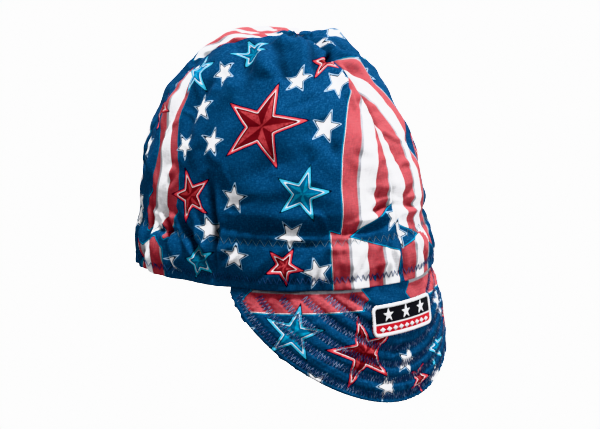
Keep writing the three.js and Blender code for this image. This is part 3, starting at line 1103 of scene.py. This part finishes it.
def print_group():
    """The cloth's print: navy ground, striped areas, small white stars, large faceted stars."""
    tree, given, out = group_tree(
        "Stars and stripes print",
        [(name, "NodeSocketFloat", 20.0) for name in PRINT_FIELDS + ["Streak"]],
        [("Color", "NodeSocketColor")])
    socket = given.outputs
    uneven = cloud(tree, 46.0, 5.0)
    speck = mask_below(tree, cloud(tree, 520.0, 3.0), 0.42, 0.10)
    colour = mix_colour(tree, uneven, INK["navy"], INK["navy_deep"])
    colour = mix_colour(tree, socket["Streak"], colour, INK["navy_light"])
    # Stripes in pairs of red and white with a grey line between.
    place = math_node(tree, "FRACT", socket["Stripe Place"])
    shadow = math_node(tree, "ABSOLUTE", math_node(tree, "SUBTRACT", place, 0.50))
    red = mix_colour(tree, uneven, INK["red"], INK["red_deep"])
    red = mix_colour(tree, socket["Streak"], red, INK["star_red_light"])
    stripe = mix_colour(tree, mask_below(tree, place, 0.47, 0.008), INK["white"], red)
    stripe = mix_colour(tree, mask_below(tree, shadow, 0.042, 0.018), stripe, INK["grey"])
    # Inks from the ground up: a field, the distance it reaches to, and its colour.
    layers = [("Stripe Edge", 0.95, INK["star_sky"]), ("Stripe Edge", 0.6, INK["outline"]),
              ("Stripe Edge", 0.25, stripe), ("White Star", 1.1, INK["pale"]),
              ("White Star", 0.7, INK["outline"]), ("White Star", 0.2, INK["white"])]
    for field, ink in (("Blue", "star_sky"), ("Red", "star_red")):
        dark = INK[ink + "_dark"]
        facet = mask_below(tree, socket[field + " Facet"], 0.0, 0.25)
        body = mix_colour(tree, facet, INK[ink], dark)
        body = mix_colour(tree, math_node(tree, "MULTIPLY", speck, 0.55), body, dark)
        for reach, layer in ((0.7, INK["outline"]), (0.2, INK[ink + "_light"]), (-0.8, INK["white"]),
                             (-1.1, dark), (-1.9, body)):
            layers.append((field + " Star", reach, layer))
    for field, reach, layer in layers:
        colour = mix_colour(tree, mask_below(tree, socket[field], reach, INK_EDGE), colour, layer)
    tree.links.new(colour, out.inputs["Color"])
    return tree


def object_place(tree):
    return tree.nodes.new("ShaderNodeTexCoord").outputs["Object"]


def cloud(tree, scale, detail):
    """Uneven tone over the cloth, from object coordinates."""
    noise = add_node(tree, "ShaderNodeTexNoise", Vector=object_place(tree), Scale=scale, Detail=detail)
    return noise.outputs["Fac"]


def cloth_map(tree):
    """The cloth map, along and up."""
    cloth = tree.nodes.new("ShaderNodeUVMap")
    cloth.uv_map = "cloth"
    split = add_node(tree, "ShaderNodeSeparateXYZ", Vector=cloth.outputs["UV"])
    return cloth.outputs["UV"], split.outputs["X"], split.outputs["Y"]


def thread_noise(tree, place, across, along, detail):
    """Two noises drawn out along the threads, one each way."""
    noises = []
    for stretch in ((along, across, 1.0), (across, along, 1.0)):
        lie = add_node(tree, "ShaderNodeMapping", Vector=place, Scale=stretch)
        noise = add_node(tree, "ShaderNodeTexNoise", Vector=lie.outputs["Vector"], Scale=1.0, Detail=detail)
        noises.append(noise.outputs["Fac"])
    return noises


def weave_group():
    """Plain weave from the cloth map: height of the threads, and a shade that varies with them."""
    tree, given, out = group_tree(
        "Plain weave", [("Spacing", "NodeSocketFloat", 0.45)],
        [(name, "NodeSocketFloat") for name in ("Height", "Shade", "Streak")])
    place, *sides = cloth_map(tree)
    waves = []
    for side in sides:
        turns = math_node(tree, "DIVIDE", side, given.outputs["Spacing"])
        waves.append(math_node(tree, "SINE", math_node(tree, "MULTIPLY", turns, math.pi)))
    over = math_node(tree, "MULTIPLY", *waves)
    height = math_node(tree, "MULTIPLY_ADD", over, 0.5, 0.5)
    # Slubs: some threads are thicker for a short way.
    slubs = thread_noise(tree, place, 1.2, 0.2, 3.0)
    slub = math_node(tree, "MULTIPLY", math_node(tree, "ADD", *slubs), 0.5)
    shade = math_node(tree, "MULTIPLY_ADD", slub, 1.0, 0.50)
    # Streaks: single threads that took less dye.
    streaks = [math_node(tree, "SUBTRACT", 1.0, mask_below(tree, noise, 0.60, 0.14))
               for noise in thread_noise(tree, place, 1.8, 0.5, 1.0)]
    streak = math_node(tree, "MULTIPLY", math_node(tree, "ADD", *streaks), 0.30, clamp=True)
    # Painted shade of the weave: a little lighter where a thread lies over, darker where it dips under; the
    # slubs vary the tone at random.
    fill(tree, out, Height=math_node(tree, "MULTIPLY_ADD", slub, 0.8, height),
         Shade=math_node(tree, "MULTIPLY_ADD", over, 0.035, shade), Streak=streak)
    return tree


def add_group(tree, group):
    node = tree.nodes.new("ShaderNodeGroup")
    node.node_tree = group
    return node


def new_material(name):
    material = bpy.data.materials.new(name)
    material.use_nodes = True
    return material, material.node_tree, material.node_tree.nodes["Principled BSDF"]


def toned(tree, colour, value):
    tone = add_node(tree, "ShaderNodeHueSaturation", Color=colour, Value=value)
    return tone.outputs["Color"]


def relief_of(tree, height, strength, distance):
    node = add_node(tree, "ShaderNodeBump", Strength=strength, Distance=distance, Height=height)
    return node.outputs["Normal"]


def printed_cotton(name, faded=0.0):
    """Printed cotton. Faded is how pale the print is where the cloth isn't doubled."""
    material, tree, shader = new_material(name)
    pattern = add_group(tree, groups["print"])
    for label in PRINT_FIELDS:
        plug(tree, pattern.inputs[label], attribute(tree, label.lower().replace(" ", "_")))
    weave = add_group(tree, groups["weave"])
    plug(tree, pattern.inputs["Streak"], weave.outputs["Streak"])
    colour = pattern.outputs["Color"]
    if faded:
        single = math_node(tree, "SUBTRACT", 1.0, attribute(tree, "doubled"), clamp=True)
        colour = mix_colour(tree, math_node(tree, "MULTIPLY", single, faded), colour, INK["reverse"])
    # Painted shade: the colour is darkened in creases, where less light reaches.
    open_share = math_node(tree, "MULTIPLY_ADD", attribute(tree, "crease"), -CREASE_SHADE, 1.0)
    shade = math_node(tree, "MULTIPLY", weave.outputs["Shade"], open_share)
    fill(tree, shader, Base_Color=toned(tree, colour, shade), Roughness=0.9, Specular_IOR_Level=0.05,
         Sheen_Weight=0.015, Sheen_Roughness=0.45,
         Normal=relief_of(tree, weave.outputs["Height"], 0.35, 0.00012))
    return material


def thread_material(name, colour, fleck_colour=None):
    """Spun thread with a fine twist, and in random flecks a second, paler colour."""
    material, tree, shader = new_material(name)
    # Painted shade: the twist shows as darker diagonal bands between the plies.
    wave = add_node(tree, "ShaderNodeTexWave", Vector=object_place(tree), Scale=900.0, Distortion=1.5)
    wave.bands_direction = "DIAGONAL"
    dark = tuple(part * 0.72 for part in colour)
    tone = mix_colour(tree, wave.outputs["Fac"], dark, colour)
    # Paler flecks of a second colour, placed at random.
    if fleck_colour:
        tone = mix_colour(tree, mask_below(tree, cloud(tree, 380.0, 2.0), 0.47, 0.05), tone, fleck_colour)
    fill(tree, shader, Base_Color=tone, Roughness=0.62, Sheen_Weight=0.2)
    return material


def patch_field_material():
    """Embroidered field: close satin stitches in two colours with a pale line between."""
    material, tree, shader = new_material("patch_field")
    _, along, up = cloth_map(tree)
    border, stitch_pitch = -1.9, 0.55
    from_line = math_node(tree, "ABSOLUTE", math_node(tree, "ADD", up, -border))
    colour = mix_colour(tree, mask_below(tree, up, border, 0.12), srgb(24, 24, 28), srgb(184, 36, 46))
    colour = mix_colour(tree, mask_below(tree, from_line, 0.45, 0.1), colour, srgb(226, 226, 230))
    stitch = math_node(tree, "SINE", math_node(tree, "MULTIPLY", along, math.tau / stitch_pitch))
    lift = math_node(tree, "MULTIPLY_ADD", stitch, 0.5, 0.5)
    # Painted shade: the colour is darker in the grooves between the satin stitches and lighter on their
    # tops.
    shade = math_node(tree, "MULTIPLY_ADD", lift, 0.35, 0.75)
    fill(tree, shader, Base_Color=toned(tree, colour, shade), Roughness=0.6, Specular_IOR_Level=0.15,
         Normal=relief_of(tree, lift, 0.6, 0.0002))
    return material


# Patch


def patch_outline(inset, count):
    """Points round the patch's rounded outline, set in by a distance, and the outline's length."""
    corner = max(PATCH_CORNER - inset, 0.4)
    w, h = PATCH_WIDTH / 2 - inset - corner, PATCH_HEIGHT / 2 - inset - corner
    arc = corner * math.pi / 2
    marks = np.concatenate([[0], np.cumsum([2 * h, arc, 2 * w, arc] * 2)])
    spot = marks[-1] * np.arange(count) / count
    # A straight run moves the corner's centre, and an arc turns round it.
    turn = np.interp(spot, marks, np.radians([0, 0, 90, 90, 180, 180, 270, 270, 360]))
    x = np.interp(spot, marks, [w, w, w, -w, -w, -w, -w, w, w])
    y = np.interp(spot, marks, [-h, h, h, h, h, -h, -h, -h, -h])
    return np.stack([x + corner * np.cos(turn), y + corner * np.sin(turn)], axis=-1), marks[-1]


def patch_point(x, y, lift):
    """A point over the brim at the patch's own coordinates: x to the viewer's right, y up."""
    along = PATCH_ASIDE - np.asarray(x)
    up = np.asarray(y) - PATCH_DROP - PATCH_HEIGHT / 2
    side = along / BRIM_HALF
    return brim_face(side, -up) + brim_outward(side, -up) * (np.asarray(lift) + 0.25)[..., None]


def patch_cloth():
    """The patch's body: a rounded grid with a slightly crowned face."""
    piece, across, climb = grid_piece("patch_cloth", 108, 38)
    y = (climb - 0.5) * PATCH_HEIGHT
    corner = np.maximum(np.abs(y) - (PATCH_HEIGHT / 2 - PATCH_CORNER), 0)
    half = PATCH_WIDTH / 2 - PATCH_CORNER + np.sqrt(np.maximum(PATCH_CORNER**2 - corner**2, 0))
    x = (2 * across - 1) * half
    set_points(piece, patch_point(x, y, np.full_like(x, PATCH_WALL - 0.35)))
    set_cloth_map(piece, x, y)
    coat(piece, "patch_field", "patch_field")
    give_wall(piece, PATCH_WALL - 0.4, np.ones_like(x))
    finish_piece(piece, "patch_cloth", "patch")


def patch_border():
    """Whipped thread round the patch's edge: one closed ring of close slanted turns."""
    _, total = patch_outline(BORDER_INSET, 8)
    sides, per_stitch, thin = 10, 4, 0.1
    count = int(round(total / BORDER_PITCH)) * per_stitch
    line, _ = patch_outline(BORDER_INSET, count)
    run = np.roll(line, -1, axis=0) - np.roll(line, 1, axis=0)
    outside = unit(np.stack([run[:, 1], -run[:, 0]], axis=-1))
    bpy.ops.mesh.primitive_torus_add(major_segments=count, minor_segments=sides,
                                     major_radius=1.0, minor_radius=thin)
    piece = bpy.context.object
    piece.name = "patch_border"
    x, y, z = primitive_points(piece).T
    ring = np.rint((np.arctan2(y, x) / math.tau % 1) * count).astype(int) % count
    aside = (np.hypot(x, y) - 1.0) / thin
    over = z / thin
    turn = np.arctan2(over, aside)
    bulge = 0.5 - 0.5 * np.cos(math.tau * (ring / per_stitch + turn / math.tau * 0.8))
    thick = 1.0 + 0.16 * bulge
    spot = line[ring] + outside[ring] * (aside * 1.05 * thick)[:, None]
    set_points(piece, patch_point(spot[:, 0], spot[:, 1], 0.62 + over * 0.72 * thick))
    coat(piece, "patch_thread")
    face_outwards(piece)
    finish_piece(piece, "patch_cloth")


def face_outwards(piece):
    select_only(piece)
    bpy.ops.object.mode_set(mode="EDIT")
    bpy.ops.mesh.select_all(action="SELECT")
    bpy.ops.mesh.normals_make_consistent(inside=False)
    bpy.ops.object.mode_set(mode="OBJECT")


def patch_motif():
    """Raised satin stitches: three plain stars over a row of small diamonds."""
    paths = []
    for centre in (-15.0, 0.0, 15.0):
        turn = np.radians(36 * np.arange(11))
        reach = np.where(np.arange(11) % 2, 1.75, 4.3)
        x, y = centre + reach * np.sin(turn), 3.1 + reach * np.cos(turn)
        for level in np.arange(y.min() + 0.2, y.max(), SATIN_PITCH):
            crossing = []
            for k in range(10):
                if (y[k] - level) * (y[k + 1] - level) < 0:
                    crossing.append(x[k] + (x[k + 1] - x[k]) * (level - y[k]) / (y[k + 1] - y[k]))
            crossing.sort()
            for low, high in zip(crossing[::2], crossing[1::2]):
                paths.append(satin_stitch((low, level), (high, level)))
    for centre in np.arange(-20.0, 20.1, 5.0):
        for aside in np.arange(-1.7, 1.75, SATIN_PITCH):
            half = 1.5 * (1 - abs(aside) / 1.9)
            paths.append(satin_stitch((centre + aside, -5.3 - half), (centre + aside, -5.3 + half)))
    thread_piece("patch_motif", paths, "patch_cloth", "patch_thread", SATIN_THREAD)


def satin_stitch(start, end):
    """One raised stitch between two points of the patch."""
    shares = np.array([0.0, 0.2, 0.5, 0.8, 1.0])
    lifts = PATCH_WALL - 0.45 + np.array([0.0, 0.26, 0.34, 0.26, 0.0])
    x = start[0] + (end[0] - start[0]) * shares
    y = start[1] + (end[1] - start[1]) * shares
    return patch_point(x, y, lifts)


# Camera and light


def sight(azimuth, elevation):
    """The direction from the cap to the camera, and the camera's right and up."""
    a, e = math.radians(azimuth), math.radians(elevation)
    back = Vector((math.sin(a) * math.cos(e), -math.cos(a) * math.cos(e), math.sin(e)))
    right = Vector((math.cos(a), math.sin(a), 0.0))
    return back, right, back.cross(right)


def put(name, data, spot, back):
    """An object at a spot, looking against the direction back."""
    item = bpy.data.objects.new(name, data)
    bpy.context.collection.objects.link(item)
    item.location = spot
    item.rotation_mode = "QUATERNION"
    item.rotation_quaternion = (-back).to_track_quat("-Z", "Y")
    return item


def camera():
    """Seen from the wearer's right front and a little above, as in the photograph."""
    back, right, up = sight(CAMERA_AZIMUTH, CAMERA_ELEVATION)
    # The middle of the picture lies above and beside the head opening's centre.
    aim = right * (PICTURE_MIDDLE[0] * PIXEL * MM) + up * (PICTURE_MIDDLE[1] * PIXEL * MM)
    data = bpy.data.cameras.new("camera")
    data.sensor_width = SENSOR_WIDTH
    data.lens = SENSOR_WIDTH * CAMERA_DISTANCE / (PICTURE_WIDTH * PIXEL * MM)
    bpy.context.scene.camera = put("camera", data, aim + back * CAMERA_DISTANCE, back)


def soft_light(name, azimuth, elevation, strength, spread):
    """Even light from one direction. Spread, in degrees, softens its shadows."""
    data = bpy.data.lights.new(name, "SUN")
    data.energy = strength
    data.angle = math.radians(spread)
    back, _, _ = sight(azimuth, elevation)
    put(name, data, back * 2, back)


def floor_material():
    """Pale matt floor, clear from below, that throws little light back up at the cap."""
    material, tree, shader = new_material("floor_white")
    seen = tree.nodes.new("ShaderNodeLightPath").outputs["Is Camera Ray"]
    fill(tree, shader, Base_Color=mix_colour(tree, seen, (0.12, 0.12, 0.12), (0.90, 0.90, 0.90)),
         Emission_Color=mix_colour(tree, seen, (0.0, 0.0, 0.0), (1.0, 1.0, 1.0)),
         Emission_Strength=0.9, Roughness=0.9)
    side = tree.nodes.new("ShaderNodeNewGeometry")
    clear = tree.nodes.new("ShaderNodeBsdfTransparent")
    either = tree.nodes.new("ShaderNodeMixShader")
    for number, part in enumerate((side.outputs["Backfacing"], shader.outputs[0], clear.outputs[0])):
        plug(tree, either.inputs[number], part)
    plug(tree, tree.nodes["Material Output"].inputs["Surface"], either.outputs[0])
    return material


def surround():
    """White surround that gives little light of its own."""
    world = bpy.data.worlds.new("surround")
    world.use_nodes = True
    tree = world.node_tree
    seen = tree.nodes.new("ShaderNodeLightPath").outputs["Is Camera Ray"]
    level = math_node(tree, "MULTIPLY_ADD", seen, SKY_SEEN - SKY_LIGHT, SKY_LIGHT)
    fill(tree, tree.nodes["Background"], Color=(1.0, 1.0, 1.0), Strength=level)
    bpy.context.scene.world = world


def studio():
    """Pale floor below the brim, a white surround and soft lights."""
    bpy.ops.mesh.primitive_plane_add(size=30.0, location=(0, 0, FLOOR_LEVEL))
    floor = bpy.context.object
    floor.name = "floor"
    floor.data.materials.append(floor_material())
    surround()
    soft_light("key", 8, 83, 8.4, 12)
    soft_light("front_light", 30, 14, 3.0, 14)
    soft_light("side_light", -118, 26, 1.1, 26)
    soft_light("rear_fill", 150, 30, 0.8, 50)
    bpy.context.scene.view_settings.view_transform = "Khronos PBR Neutral"


# Build

BRIM_HALF = hem_half_length()
EDGE = edge_line()
camera()
groups = {"print": print_group(), "weave": weave_group()}
materials = {
    "crown_print": printed_cotton("crown_print"),
    "crown_reverse": printed_cotton("crown_reverse", faded=0.62),
    "brim_print": printed_cotton("brim_print"),
    "hem_thread_upper": thread_material("hem_thread_upper", srgb(84, 108, 124)),
    "hem_thread_lower": thread_material("hem_thread_lower", srgb(46, 80, 128)),
    "quilt_thread": thread_material("quilt_thread", srgb(44, 68, 116), srgb(112, 130, 164)),
    "patch_thread": thread_material("patch_thread", srgb(236, 236, 240)),
    "patch_field": patch_field_material(),
}


def seam(side, turns=0):
    """A seam's angle at each height: side is 0 for the front one, 1 or -1 for one at the back."""
    return lambda height: side * back_seam(height) + math.tau * turns


right = crown_piece("right", seam(0), seam(1))
left = crown_piece("left", seam(-1), seam(0))
back = crown_piece("back", seam(1), seam(-1, 1))
brim_piece()
hem_threads([right, left, back])
quilt_threads()
patch_cloth()
patch_border()
patch_motif()
studio()
